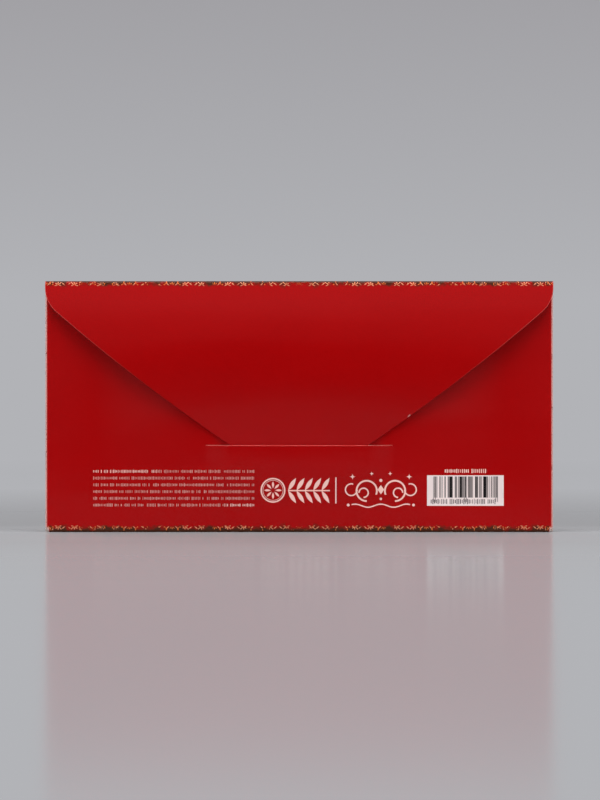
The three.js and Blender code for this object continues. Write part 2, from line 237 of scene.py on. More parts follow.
def on_top_fold(u, v, under):
    angle = math.pi - (v - TOP_FOLD_CENTRE_Z) / TOP_FOLD_RADIUS
    radius = TOP_FOLD_RADIUS + CARD / 2 - under
    depth = top_fold_centre[0] + radius * math.cos(angle)
    return u, depth, top_fold_centre[1] + radius * math.sin(angle)


def on_flap(u, v, under):
    t = float(np.interp(v - FLAP_START_V, bow_lengths, bow_ts))
    along = bow_direction(t)
    depth, height = bow_point(t) + (CARD / 2 - under) * np.array([-along[1], along[0]])
    return u, depth, height


def on_tongue(u, v, under):
    angle = math.pi - FLAP_ENTRY_ANGLE + (v - SLIT_V) / tongue_radius
    radius = tongue_radius - CARD / 2 + under
    depth = tongue_centre[0] + radius * math.cos(angle)
    return u, depth, tongue_centre[1] + radius * math.sin(angle)


def on_side_fold(u, v, under):
    angle = (abs(u) - SIDE_FOLD_X) / SIDE_FOLD_RADIUS
    radius = SIDE_FOLD_RADIUS + CARD / 2 - under
    x = SIDE_FOLD_X + radius * math.sin(angle)
    return math.copysign(x, u), CARD / 2 + SIDE_FOLD_RADIUS - radius * math.cos(angle), v


def in_frame(point):
    x, depth, height = point
    return x * MM, (FRONT_Y - depth) * MM, height * MM


PRINTED, CUT_EDGE, BARE = range(3)


def inset_of(before, here, after, cut_before, cut_after):
    """Which way, and by what share of the rounding, an outline point moves in from the cut edge."""
    one, two = here - before, after - here
    one, two = one / np.linalg.norm(one), two / np.linalg.norm(two)
    inward_one, inward_two = np.array([-one[1], one[0]]), np.array([-two[1], two[0]])
    if cut_before and cut_after:
        return (inward_one + inward_two) / (1 + inward_one @ inward_two)
    if cut_before:
        return two / (two @ inward_one)
    if cut_after:
        return -one / (-one @ inward_two)
    return np.zeros(2)


def distance_to_cut(point, starts, ends):
    """The shortest way from a point of the sheet to its cut edges."""
    run = ends - starts
    share = np.clip(((point - starts) * run).sum(axis=1) / (run * run).sum(axis=1), 0, 1)
    return np.linalg.norm(starts + share[:, None] * run - point, axis=1).min()


def corners_of(j, i):
    """The four corners of a grid cell, in turn."""
    return (j, i), (j, i + 1), (j + 1, i + 1), (j + 1, i)


def card_piece(name, rows, place, is_seam, finishes, keep=lambda row, column: True):
    """A closed piece of card on a grid of (u, v) points. A seam is where it goes on into the next
    piece; every other edge is cut, softly rounded and shows the core of the card."""
    flat = np.array(rows, float)
    height, width = flat.shape[0] - 1, flat.shape[1] - 1
    cells = [(j, i) for j in range(height) for i in range(width) if keep(j, i)]
    kept = set(cells)
    after, before = {}, {}
    for j, i in cells:
        corners = corners_of(j, i)
        beyond = ((j - 1, i), (j, i + 1), (j + 1, i), (j, i - 1))
        for k, neighbour in enumerate(beyond):
            if neighbour not in kept:
                after[corners[k]] = corners[(k + 1) % 4]
                before[corners[(k + 1) % 4]] = corners[k]
    turns = 1 if (flat[0, 1, 0] - flat[0, 0, 0]) * (flat[1, 0, 1] - flat[0, 0, 1]) > 0 else -1

    def is_cut(a, b):
        u, v = (flat[a] + flat[b]) / 2
        return not is_seam(u, v)

    inset = {}
    for here in after:
        a, b = before[here], after[here]
        moved = inset_of(flat[a], flat[here], flat[b], is_cut(a, here), is_cut(here, b))
        inset[here] = EDGE_ROUND * turns * moved
    cuts = [(a, b) for a, b in after.items() if is_cut(a, b)]
    cut_starts, cut_ends = (np.array([flat[cut[k]] for cut in cuts]) for k in range(2))

    shape = bmesh.new()
    drawn = shape.verts.layers.float_vector.new("flat_mm")
    from_cut = shape.verts.layers.float.new("from_cut_mm")

    def vertex(point, share, under):
        u, v = flat[point] + share * inset.get(point, np.zeros(2))
        made = shape.verts.new(in_frame(place(u, v, under)))
        made[drawn] = (u, v, under)
        made[from_cut] = distance_to_cut(np.array([u, v]), cut_starts, cut_ends)
        return made

    used = sorted({corner for cell in cells for corner in corners_of(*cell)})
    outer = {point: vertex(point, 1, 0) for point in used}
    inner = {point: vertex(point, 1, CARD) for point in used}
    profile = (
        (EDGE_SHARE, EDGE_SHARE * EDGE_ROUND),
        (0, EDGE_ROUND),
        (0, CARD - EDGE_ROUND),
        (EDGE_SHARE, CARD - EDGE_SHARE * EDGE_ROUND),
    )
    rings = [{point: vertex(point, share, under) for point in after} for share, under in profile]
    rings = [outer, *rings, inner]

    def face(corners, finish):
        made = shape.faces.new(corners)
        made.material_index = finish
        made.smooth = True

    for cell in cells:
        corners = corners_of(*cell)
        face([outer[c] for c in corners], PRINTED)
        face([inner[c] for c in reversed(corners)], BARE)
    for a, b in after.items():
        for k in range(len(rings) - 1):
            face((rings[k][b], rings[k][a], rings[k + 1][a], rings[k + 1][b]), CUT_EDGE if k else PRINTED)
        shape.edges.get((outer[a], outer[b])).smooth = False
        shape.edges.get((inner[a], inner[b])).smooth = False
    bmesh.ops.recalc_face_normals(shape, faces=shape.faces)
    mesh = bpy.data.meshes.new(name)
    shape.to_mesh(mesh)
    shape.free()
    for finish in finishes:
        mesh.materials.append(finish)
    piece = bpy.data.objects.new(name, mesh)
    bpy.context.scene.collection.objects.link(piece)
    return piece


def spaced(start, end, spacing):
    """Even steps from start to end, no wider than the spacing."""
    count = max(1, math.ceil(abs(end - start) / spacing))
    return [start + (end - start) * k / count for k in range(count + 1)]


def chained(*stops, spacing):
    """Even steps through every stop."""
    line = [stops[0]]
    for a, b in zip(stops, stops[1:]):
        line += spaced(a, b, spacing)[1:]
    return line


def mirrored(positions):
    return [-p for p in reversed(positions) if p > 0] + positions


# Steps of the grids that the pieces are drawn on
GRID = 1.2
TOP_FOLD_STEPS = 28
SIDE_FOLD_STEPS = 16
BOTTOM_QUARTER_STEPS = 8
FLAP_COLUMNS = 120


def grid(us, vs):
    return [[(u, v) for u in us] for v in vs]


def is_near(value, *stops):
    return min(abs(value - stop) for stop in stops) < SEAM_TOLERANCE


def seams_across(*vs):
    """The test for a piece whose seams run across the sheet at these v."""
    return lambda u, v: is_near(v, *vs)


def front_panel(finishes):
    tip_start = FOOT_HALF_WIDTH + TIP_GAP
    us = mirrored(chained(0, tip_start, SIDE_FOLD_X, spacing=GRID) + [HALF_WIDTH])
    stops = (BOTTOM_FOLD_TOP, SIDE_FOLD_BOTTOM, SIDE_FOLD_TOP, TOP_FOLD_CENTRE_Z)
    vs = [TIP_BOTTOM] + chained(*stops, spacing=GRID)

    def keep(row, column):
        beside_fold = SIDE_FOLD_BOTTOM < (vs[row] + vs[row + 1]) / 2 < SIDE_FOLD_TOP
        beside_foot = row > 0 or abs(us[column] + us[column + 1]) / 2 > tip_start
        return beside_foot and not (beside_fold and column in (0, len(us) - 2))

    def is_seam(u, v):
        return is_near(v, BOTTOM_FOLD_TOP, TOP_FOLD_CENTRE_Z) or is_near(abs(u), SIDE_FOLD_X)

    return card_piece("front_panel_card", grid(us, vs), on_front, is_seam, finishes, keep)


def across_fold(name, half_width, vs, place, finishes):
    us = mirrored(spaced(0, half_width, 2 * GRID))
    return card_piece(name, grid(us, vs), place, seams_across(vs[0], vs[-1]), finishes)


def bottom_fold(finishes):
    flat_start, flat_end = BOTTOM_QUARTER, BOTTOM_QUARTER + BOTTOM_FLAT
    stops = [BOTTOM_FOLD_TOP - s for s in (0, flat_start, flat_end, flat_end + BOTTOM_QUARTER)]
    vs = chained(*stops, spacing=BOTTOM_QUARTER / BOTTOM_QUARTER_STEPS)
    return across_fold("bottom_fold_card", FOOT_HALF_WIDTH, vs, on_bottom_fold, finishes)


def top_fold(finishes):
    vs = spaced(TOP_FOLD_CENTRE_Z, FLAP_START_V, (FLAP_START_V - TOP_FOLD_CENTRE_Z) / TOP_FOLD_STEPS)
    return across_fold("top_fold_card", HALF_WIDTH, vs, on_top_fold, finishes)


def side_fold(name, side, finishes):
    fold_end = SIDE_FOLD_X + SIDE_FOLD_LENGTH
    us = [side * u for u in spaced(SIDE_FOLD_X, fold_end, SIDE_FOLD_LENGTH / SIDE_FOLD_STEPS)]
    vs = spaced(SIDE_FOLD_BOTTOM, SIDE_FOLD_TOP, GRID)

    def is_seam(u, v):
        return is_near(abs(u), SIDE_FOLD_X, fold_end)

    return card_piece(name, grid(us, vs), on_side_fold, is_seam, finishes)


def corner_rows(radius, corner_z, upwards):
    """Heights and half widths of rows that round a corner of the back panel."""
    turns = [math.radians(angle) for angle in range(10, 91, 10)]
    return [
        (corner_z + upwards * radius * math.sin(turn), BACK_HALF_WIDTH - radius * (1 - math.cos(turn)))
        for turn in turns
    ]


def back_panel(finishes):
    us = mirrored(chained(0, LIP_HALF, SLIT_HALF, BULGE_HALF, BACK_HALF_WIDTH, spacing=GRID))
    slit_bottom, slit_top = SLIT_HEIGHT - SLIT_KERF / 2, SLIT_HEIGHT + SLIT_KERF / 2
    foot_z = BOTTOM_FOLD_TOP + FOOT_CORNER_RADIUS
    corner_z = BACK_TOP - BACK_CORNER_RADIUS
    feet = corner_rows(FOOT_CORNER_RADIUS, foot_z, -1)[::-1]
    below_slit = feet + [(z, BACK_HALF_WIDTH) for z in spaced(foot_z, slit_bottom, GRID)]
    above_slit = [(z, BACK_HALF_WIDTH) for z in spaced(slit_top, corner_z, GRID)]
    above_slit += corner_rows(BACK_CORNER_RADIUS, corner_z, 1)
    rows = [
        [(u * reach / BACK_HALF_WIDTH, v_on_back(z)) for u in us]
        for z, reach in below_slit + above_slit
    ]
    slit_row = len(below_slit) - 1

    def keep(row, column):
        return row != slit_row or abs(us[column] + us[column + 1]) / 2 > SLIT_HALF

    seam = seams_across(BACK_START_V)
    return card_piece("back_panel_card", rows, on_back, seam, finishes, keep)


def quadratic(a, b, c, count):
    """Points of a quadratic curve after its first one."""
    ts = [k / count for k in range(1, count + 1)]
    return [(1 - t) ** 2 * a + 2 * (1 - t) * t * b + t**2 * c for t in ts]


def flap_outline():
    """Half of the flap's outline as (x, height): straight side, rounded shoulder, curved flank."""
    shoulder = np.array([HALF_WIDTH, top_high.z - FLAP_SHOULDER_DEPTH])
    foot = np.array([FLAP_SLIT_HALF, SLIT_HEIGHT])
    along = foot - shoulder
    outwards = np.array([-along[1], along[0]]) / np.linalg.norm(along)
    pull = (shoulder + foot) / 2 + 2 * FLANK_BULGE * outwards
    flank_start = shoulder + FLAP_SHOULDER_ROUND * (pull - shoulder) / np.linalg.norm(pull - shoulder)
    side_end = shoulder + np.array([0, FLAP_SHOULDER_ROUND])
    return [
        np.array([HALF_WIDTH, bow_start[1]]),
        side_end,
        *quadratic(side_end, shoulder, flank_start, 12),
        *quadratic(flank_start, pull, foot, 56),
    ]


def tapered_rows(outline):
    """Rows of points across the flap from one flank to the other, for an outline of (x, v)."""
    shares = [2 * k / FLAP_COLUMNS - 1 for k in range(FLAP_COLUMNS + 1)]
    return [[(share * x, v) for share in shares] for x, v in outline]


def closing_flap(finishes):
    def v_at(height):
        return FLAP_START_V + float(np.interp(-height, -bow_points[:, 1], bow_lengths))

    outline = [(x, v_at(z)) for x, z in flap_outline()]
    seams = seams_across(outline[0][1], outline[-1][1])
    return card_piece("closing_flap_card", tapered_rows(outline), on_flap, seams, finishes)


def flap_tongue(finishes):
    tip = np.array([TONGUE_TIP_HALF, SLIT_V + TONGUE_LENGTH])
    root = np.array([FLAP_SLIT_HALF, SLIT_V])
    corner_start = tip + TONGUE_CORNER * (root - tip) / np.linalg.norm(root - tip)
    corner_end = tip - np.array([TONGUE_CORNER, 0])
    straight = [root + (corner_start - root) * k / 8 for k in range(9)]
    outline = [*straight, *quadratic(corner_start, tip, corner_end, 10)]
    seam = seams_across(SLIT_V)
    return card_piece("flap_tongue_card", tapered_rows(outline), on_tongue, seam, finishes)


def linear(red, green, blue):
    """A colour as screens write it, 0 to 255, made linear."""
    shares = [c / 255 for c in (red, green, blue)]
    return tuple(c / 12.92 if c <= 0.04045 else ((c + 0.055) / 1.055) ** 2.4 for c in shares)


# Inks and card
RED_INK = linear(156, 4, 6)
DARK_GREEN_INK = linear(34, 36, 22)
CREAM_INK = linear(232, 180, 142)
PEACH_INK = linear(208, 130, 98)
AMBER_INK = linear(206, 118, 42)
EMBER_INK = linear(204, 104, 52)
FLOWER_INK = linear(186, 24, 22)
PALE_INK = linear(240, 194, 185)
PANEL_WHITE = linear(230, 214, 212)
BAR_BLACK = linear(26, 22, 24)
CARD_CORE = linear(226, 196, 190)
STAINED_CORE = linear(180, 44, 44)
# Worn ink along the cut edges; it also stands for a painted highlight on those edges
RUBBED_INK_AND_EDGE_HIGHLIGHT = linear(190, 66, 62)
WORN_INK = linear(208, 158, 153)
BARE_CARD = linear(216, 209, 200)
DRIED_GLUE = linear(222, 208, 170)

VALUE, VECTOR, COLOUR = "NodeSocketFloat", "NodeSocketVector", "NodeSocketColor"
MIX_A, MIX_B, MIXED = 6, 7, 2
NODES_IN_COLUMN = 10
NODE_STEP = (190, 170)


def add_node(tree, kind, **settings):
    """A node of this kind, set beside the tree's other nodes."""
    column, row = divmod(len(tree.nodes), NODES_IN_COLUMN)
    node = tree.nodes.new(kind)
    for name, value in settings.items():
        setattr(node, name, value)
    node.location = (column * NODE_STEP[0], -row * NODE_STEP[1])
    return node


def feed(slot, value):
    """Links an input to a wire or a socket, or sets it to a number or a colour."""
    source = value.socket if isinstance(value, Wire) else value
    if isinstance(source, bpy.types.NodeSocket):
        slot.id_data.links.new(slot, source)
    elif slot.type == "RGBA":
        slot.default_value = (*source, 1)
    else:
        slot.default_value = source


class Wire:
    """A number that changes over the card. Arithmetic on it adds Math nodes to its tree."""

    def __init__(self, socket):
        self.socket = socket
        self.tree = socket.id_data

    def math(self, operation, *others, clamp=False):
        node = add_node(self.tree, "ShaderNodeMath", operation=operation, use_clamp=clamp)
        for slot, value in zip(node.inputs, (self, *others)):
            feed(slot, value)
        return Wire(node.outputs[0])

    def __add__(self, other):
        return self.math("ADD", other)

    def __sub__(self, other):
        return self.math("SUBTRACT", other)

    def __rsub__(self, other):
        return self.math("MULTIPLY_ADD", -1, other)

    def __mul__(self, other):
        return self.math("MULTIPLY", other)

    def __truediv__(self, other):
        return self.math("DIVIDE", other)

    def __abs__(self):
        return self.math("ABSOLUTE")

    __radd__ = __add__
    __rmul__ = __mul__


# Printed shapes are masks: 1 where the ink lies, 0 beside it, with an edge as soft as print
PRINT_EDGE = 0.06


def under_limit(value, limit, soft=PRINT_EDGE):
    if isinstance(limit, Wire):
        return (limit - value).math("MULTIPLY_ADD", 1 / soft, 0.5, clamp=True)
    return value.math("MULTIPLY_ADD", -1 / soft, limit / soft + 0.5, clamp=True)


def over_limit(value, limit, soft=PRINT_EDGE):
    return 1 - under_limit(value, limit, soft)


def between(value, low, high, soft=PRINT_EDGE):
    return under_limit(abs(value - (low + high) / 2), (high - low) / 2, soft)


def line_at(value, middle, width):
    return between(value, middle - width / 2, middle + width / 2)


def either(*masks):
    whole = masks[0]
    for mask in masks[1:]:
        whole = whole.math("MAXIMUM", mask)
    return whole


def distance(x, y):
    return (x * x + y * y).math("SQRT")


def disc(x, y, radius):
    return under_limit(distance(x, y), radius)


def ring(x, y, radius, width):
    return line_at(distance(x, y), radius, width)


def turned(x, y, angle):
    """The point seen from axes that are turned by an angle."""
    c, s = math.cos(angle), math.sin(angle)
    return x * c + y * s, y * c - x * s


def repeated(value, half_pitch):
    """How far a number lies from the nearest multiple of two half pitches."""
    return value.math("PINGPONG", half_pitch)


def joined(x, y):
    """One vector of two numbers."""
    node = add_node(x.tree, "ShaderNodeCombineXYZ")
    feed(node.inputs["X"], x)
    feed(node.inputs["Y"], y)
    return node.outputs[0]


def parted(vector):
    """The three numbers of a vector."""
    node = add_node(vector.id_data, "ShaderNodeSeparateXYZ")
    feed(node.inputs[0], vector)
    return [Wire(part) for part in node.outputs]


def stretched(vector, shares):
    """A vector with each of its three numbers multiplied by its own share."""
    node = add_node(vector.id_data, "ShaderNodeVectorMath", operation="MULTIPLY")
    feed(node.inputs[0], vector)
    feed(node.inputs[1], shares)
    return node.outputs[0]


def chance(across, down=0.0):
    """An even random number from 0 to 1 for each whole number across and down."""
    noise = add_node(across.tree, "ShaderNodeTexWhiteNoise", noise_dimensions="2D")
    feed(noise.inputs["Vector"], joined(across, down))
    return Wire(noise.outputs["Value"])


def grain(place, size, detail=2.0, stretch=(1, 1, 1)):
    """Soft noise about 0.5, with features of about this size in millimetres."""
    noise = add_node(place.id_data, "ShaderNodeTexNoise")
    feed(noise.inputs["Vector"], stretched(place, [share / size for share in stretch]))
    noise.inputs["Scale"].default_value = 1
    noise.inputs["Detail"].default_value = detail
    return Wire(noise.outputs[0])


def share_of(value, length):
    """How far along a length a number lies, from 0 to 1."""
    return (value / length).math("MAXIMUM", 0).math("MINIMUM", 1)


def blade(along, beside, length, half_width):
    """A single pointed leaf that lies along a line."""
    width = (share_of(along, length) * math.pi).math("SINE") * half_width
    return (width - abs(beside)).math("DIVIDE", PRINT_EDGE, clamp=True)


def inked(ground, ink, mask):
    """The colour of a ground with an ink over it where the mask lies."""
    node = add_node(mask.tree, "ShaderNodeMix", data_type="RGBA")
    feed(node.inputs[0], mask)
    feed(node.inputs[MIX_A], ground)
    feed(node.inputs[MIX_B], ink)
    return node.outputs[MIXED]


def overprinted(ground, *layers):
    """The colour of a ground with layers over it, each one an ink and its mask."""
    for ink, mask in layers:
        ground = inked(ground, ink, mask)
    return ground


def shaded(colour, tone):
    """A colour made lighter or darker by a tone about 1."""
    node = add_node(tone.tree, "ShaderNodeVectorMath", operation="SCALE")
    feed(node.inputs[0], colour)
    feed(node.inputs["Scale"], tone)
    return node.outputs[0]


def shader_group(name, inputs, outputs):
    """A new node group with named sockets: the group, its input wires and its output sockets."""
    group = bpy.data.node_groups.new(name, "ShaderNodeTree")
    for label, kind in inputs:
        group.interface.new_socket(label, in_out="INPUT", socket_type=kind)
    for label, kind in outputs:
        group.interface.new_socket(label, in_out="OUTPUT", socket_type=kind)
    entry = add_node(group, "NodeGroupInput")
    leaving = add_node(group, "NodeGroupOutput")
    return group, [Wire(entry.outputs[label]) for label, kind in inputs], leaving.inputs


def placed(tree, group, **values):
    """The outputs of a node group placed in a tree with its own values."""
    node = add_node(tree, "ShaderNodeGroup", node_tree=group)
    for label, value in values.items():
        feed(node.inputs[label.replace("_", " ").title()], value)
    return node.outputs


def leaf_fan_group():
    """Pointed leaves that spread from one point: a fan, or a rosette where they go all round."""
    labels = ("X", "Y", "Leaf Angle", "Spread", "Root", "Tip", "Half Width", "Unevenness", "Seed")
    group, wires, result = shader_group(
        "leaf_fan", [(label, VALUE) for label in labels], [("Leaves", VALUE)]
    )
    x, y, leaf_angle, spread, root, tip, half_width, unevenness, seed = wires
    angle = x.math("ARCTAN2", y)
    reach = distance(x, y)
    beside = repeated(angle, leaf_angle * 0.5) * reach
    leaf_number = (angle / leaf_angle).math("ROUND")
    shortened = tip - unevenness * chance(leaf_number, seed)
    share = share_of(reach - root, shortened - root)
    width = (share.math("POWER", 1.3) * math.pi).math("SINE") * half_width
    leaf = (width - beside).math("DIVIDE", PRINT_EDGE, clamp=True)
    feed(result["Leaves"], leaf * under_limit(abs(angle), spread))
    return group


def gloss_coat_group():
    """The coated face: a slow drift of tone, an uneven gloss and the finest orange peel."""
    group, (place,), result = shader_group(
        "gloss_coat",
        [("Place", VECTOR)],
        [("Tone", VALUE), ("Roughness", VALUE), ("Height", VALUE)],
    )
    drift = grain(place.socket, 34.0)
    speckle = grain(place.socket, 0.35, 1.0)
    feed(result["Tone"], drift * 0.14 + speckle * 0.05 + 0.905)
    feed(result["Roughness"], grain(place.socket, 7.0) * 0.04 + 0.09)
    peel = grain(place.socket, 1.6)
    fibre = grain(place.socket, 0.3, 2.0, stretch=(0.4, 1, 1))
    cockle = grain(place.socket, 15.0, 1.0, stretch=(0.25, 1, 1))
    feed(result["Height"], peel * 0.004 + fibre * 0.0006 + cockle * 0.16)
    return group


def card_fibres_group():
    """Uncoated card: matted fibres, a mottled tone and a rough, fleecy face."""
    group, (place, stretch), result = shader_group(
        "card_fibres", [("Place", VECTOR), ("Stretch", VECTOR)], [("Tone", VALUE), ("Height", VALUE)]
    )
    laid = stretched(place.socket, stretch)
    mottle = grain(laid, 2.4, 3.0)
    fibre = grain(laid, 0.22, 3.0, stretch=(0.35, 1, 1))
    feed(result["Tone"], mottle * 0.14 + fibre * 0.16 + 0.85)
    feed(result["Height"], mottle * 0.012 + fibre * 0.009)
    return group


def fold_wear_group():
    """Where the ink has cracked along a fold: flecks that thin out away from the crease."""
    group, (place, away, reach, share), result = shader_group(
        "fold_wear",
        [("Place", VECTOR), ("Away", VALUE), ("Reach", VALUE), ("Share", VALUE)],
        [("Worn", VALUE)],
    )
    flecks = grain(place.socket, 0.55, 3.0) * 2 - 0.5
    patches = grain(place.socket, 6.0, 2.0) * 2 - 0.5
    fade = (1 - away / reach).math("MAXIMUM", 0)
    strength = (flecks * 0.6 + patches * 0.4) * fade.math("POWER", 0.5)
    feed(result["Worn"], over_limit(strength + share, 1.0, 0.16))
    return group


leaf_fan = leaf_fan_group()
gloss_coat = gloss_coat_group()
card_fibres = card_fibres_group()
fold_wear = fold_wear_group()


def leaves(x, y, count, root, tip, half_width, spread=2 * math.pi, unevenness=0.0, seed=0.0):
    """Leaves at even angles, the first one upwards, out of count to the full circle."""
    drawn = {"root": root, "tip": tip, "half_width": half_width, "unevenness": unevenness, "seed": seed}
    leaf_angle = 2 * math.pi / count
    outputs = placed(x.tree, leaf_fan, x=x, y=y, leaf_angle=leaf_angle, spread=spread, **drawn)
    return Wire(outputs["Leaves"])


# The ornament that runs round the front. It starts just past the folds, so its outermost leaves
# show as a thin strip along the top and the bottom of the flap side.
BORDER_TOP = 83.95
BORDER_BOTTOM = -3.0
BORDER_SIDE = 84.5
SHEET_MIDDLE = (BORDER_TOP + BORDER_BOTTOM) / 2
HALF_REPEAT = HALF_WIDTH / 12
CORNER_FLOWER = 5.9
BAND_END = 9.6


def border_group():
    """Fans of leaves on a scalloped dark band, with a vine, corner flowers and gold lines."""
    group, (across, up), result = shader_group(
        "leaf_border", [("Across", VALUE), ("Up", VALUE)], [("Colour", COLOUR)]
    )
    from_side = BORDER_SIDE - abs(across)
    from_middle = abs(up - SHEET_MIDDLE)
    from_end = (BORDER_TOP - BORDER_BOTTOM) / 2 - from_middle
    at_side = under_limit(from_side - from_end, 0)
    inward = from_side.math("MINIMUM", from_end)
    along = abs(across) + at_side * (from_middle - abs(across))

    # Places within one repeat: large fans at its ends, small ones at its middle
    large = repeated(along, HALF_REPEAT)
    small = HALF_REPEAT - large
    quarter = abs(large - HALF_REPEAT / 2)
    cell = (along / HALF_REPEAT).math("ROUND")
    luck = chance(cell, at_side)
    seed = luck * 50

    # The dark ground of the band, clouded where it begins; near the folds this cloud is partly print and
    # partly painted shade where the card curves over them
    band_place = joined(along, inward + at_side * 40)
    cloud_and_fold_shade = grain(band_place, 3.4, 2.0) * 4 - 1.7
    ground = over_limit(inward + cloud_and_fold_shade, 0.85, 1.3) * under_limit(inward, BAND_END)
    ground = ground * (over_limit(inward, 2.7, 1.0) * 0.12 + 0.88)
    colour = inked(RED_INK, DARK_GREEN_INK, ground)

    # Fans of leaves in two inks
    fan_out = 4.7 - inward
    cream_leaves = leaves(large, fan_out, 14, 1.5, 2.75, 0.22, 1.95, 0.5, seed)
    between_angle = math.pi / 14
    amber_leaves = leaves(*turned(large, fan_out, between_angle), 14, 1.7, 2.7, 0.2, 2.0, 0.5, seed)
    small_leaves = leaves(small, 5.0 - inward, 16, 1.0, 2.9, 0.25, 1.5, 0.8, seed)
    amber_leaves = either(small_leaves * under_limit(luck, 0.6), amber_leaves)
    colour = overprinted(colour, (AMBER_INK, amber_leaves), (CREAM_INK, cream_leaves))

    # Along the folds, small sprays, leaning leaves and dots in pairs about each fan, no two runs alike
    gaps = grain(band_place, 4.5, 1.0)
    printed = over_limit(inward, 0) * over_limit(gaps, 0.41, 0.05)
    shifted = large + luck * 0.5

    def leaning(middle, lean, size, root=0.1):
        """A single leaf on each side of a fan, from its root towards the fold."""
        return leaves(*turned(shifted - middle, inward - root, lean), 2, 0.0, size, 0.18, 0.6)

    tuft = leaves(large, inward - 0.1, 9, 0.25, 1.25, 0.17, 0.75)
    sprig = leaves(shifted - 4.6, inward - 0.3, 7, 0.1, 1.15, 0.19, 1.9) * over_limit(luck, 0.35)
    wings = leaves(*turned(small - 0.25, inward - 0.15, -0.9), 2, 0.0, 1.5, 0.19, 0.6)
    ember = either(
        tuft * over_limit(luck, 0.2),
        leaning(2.5, 0.6, 1.2, 0.4) * over_limit(luck, 0.3),
        leaning(5.6, -0.3, 1.0) * under_limit(luck, 0.5),
        disc(quarter - 0.9, inward - 0.5, 0.2),
        disc(large - 1.9, inward - 1.4, 0.17),
    )
    peach = either(
        leaning(1.1, -0.8, 1.3),
        leaning(3.5, -1.0, 1.4) * under_limit(luck, 0.7),
        leaning(3.0, 0.2, 0.9, 0.7) * over_limit(luck, 0.6),
        disc(small - 1.7, inward - 1.1, 0.18),
        sprig,
        wings * over_limit(luck, 0.4),
    )
    colour = overprinted(colour, (EMBER_INK, ember * printed), (PEACH_INK, peach * printed))

    # The vine below the fans
    wave = (large * (math.pi / HALF_REPEAT)).math("COSINE")
    vine = line_at(inward - wave * 0.85, 7.35, 0.2)
    vine_leaves = leaves(quarter, inward - 7.3, 6, 0.3, 1.35, 0.24)
    berries = either(disc(large, inward - 7.1, 0.34), disc(small, inward - 7.9, 0.34))
    colour = overprinted(colour, (AMBER_INK, either(vine, vine_leaves)), (CREAM_INK, berries))

    # Flowers in the hearts of the fans
    petals = leaves(large, fan_out, 6, 0.0, 1.6, 0.5)
    hearts = either(disc(large, fan_out, 0.36), disc(small, inward - 5.0, 0.5))
    colour = overprinted(colour, (FLOWER_INK, petals), (CREAM_INK, hearts))

    # A flower with its own leaves over each corner
    corner_x = from_side - CORNER_FLOWER
    corner_y = from_end - CORNER_FLOWER
    colour = overprinted(
        colour,
        (DARK_GREEN_INK, disc(corner_x, corner_y, 3.9)),
        (CREAM_INK, leaves(corner_x, corner_y, 18, 2.0, 4.1, 0.28, unevenness=0.9)),
        (FLOWER_INK, leaves(corner_x, corner_y, 8, 0.3, 2.1, 0.46)),
        (AMBER_INK, either(disc(corner_x, corner_y, 0.55), ring(corner_x, corner_y, 2.2, 0.14))),
    )

    # Gold lines close the band off
    lines = either(line_at(inward, BAND_END, 0.34), line_at(inward, BAND_END + 0.75, 0.14))
    edge_beads = disc(repeated(along, 0.86), inward - (BAND_END + 1.6), 0.24)
    colour = inked(colour, AMBER_INK, either(lines, edge_beads))
    feed(result["Colour"], colour)
    return group


leaf_border = border_group()


def border_print(tree, u, v):
    return placed(tree, leaf_border, across=u, up=v)["Colour"]


# The front: a round medallion between two sprigs, on a field sown with small gold dots
MEDALLION_RADIUS = 17.0
SPRIG_START = 20.5
SPRIG_END = 49.0
SPRIG_PITCH = 3.2
FIELD_PITCH = 7.0
FIELD_INSET = 14.5


def front_print(tree, u, v):
    y = v - SHEET_MIDDLE
    reach = distance(u, y)
    angle = u.math("ARCTAN2", y)
    colour = border_print(tree, u, v)

    across_dots, up_dots = repeated(u, FIELD_PITCH / 2), repeated(y, FIELD_PITCH / 2)
    dots = either(
        disc(across_dots, up_dots, 0.3),
        leaves(FIELD_PITCH / 2 - across_dots, FIELD_PITCH / 2 - up_dots, 4, 0.0, 0.85, 0.22),
    )
    half_height = SHEET_MIDDLE - BORDER_BOTTOM - FIELD_INSET
    in_field = under_limit(abs(u), BORDER_SIDE - FIELD_INSET) * under_limit(abs(y), half_height)
    beside_sprig = either(over_limit(abs(y), 5.5), over_limit(abs(u), SPRIG_END + 1.5))
    sown = in_field * over_limit(reach, MEDALLION_RADIUS + 3.5) * beside_sprig
    colour = inked(colour, AMBER_INK, dots * sown)

    lobes = (angle * 24).math("COSINE") * 0.55
    colour = overprinted(
        colour,
        (DARK_GREEN_INK, under_limit(reach - lobes, MEDALLION_RADIUS)),
        (CREAM_INK, leaves(u, y, 24, 11.6, 16.6, 0.8)),
        (AMBER_INK, leaves(*turned(u, y, math.pi / 24), 24, 12.2, 15.4, 0.42)),
        (FLOWER_INK, under_limit(reach, 11.0)),
        (AMBER_INK, either(line_at(reach, 11.0, 0.4), line_at(reach, 10.2, 0.16))),
        (DARK_GREEN_INK, leaves(u, y, 12, 3.2, 9.6, 1.35)),
        (CREAM_INK, leaves(u, y, 12, 4.4, 8.8, 0.5)),
        (AMBER_INK, leaves(*turned(u, y, math.pi / 12), 12, 5.6, 9.8, 0.5)),
        (DARK_GREEN_INK, under_limit(reach, 3.6)),
        (CREAM_INK, leaves(u, y, 8, 0.9, 3.3, 0.5)),
        (AMBER_INK, under_limit(reach, 0.8)),
    )

    along = abs(u) - SPRIG_START
    size = 1 - along * (0.55 / (SPRIG_END - SPRIG_START))
    on_sprig = between(along, 0, SPRIG_END - SPRIG_START)
    stem = under_limit(abs(y), size * 0.24)
    step = along.math("WRAP", SPRIG_PITCH, 0.0)
    pairs = blade(*turned(step, abs(y), math.radians(48)), size * 4.2, size * 0.62)
    end_bud = leaves(abs(u) - SPRIG_END - 1.4, y, 6, 0.0, 1.5, 0.5)
    stems = either(stem * on_sprig, end_bud)
    return overprinted(colour, (CREAM_INK, pairs * on_sprig), (AMBER_INK, stems))


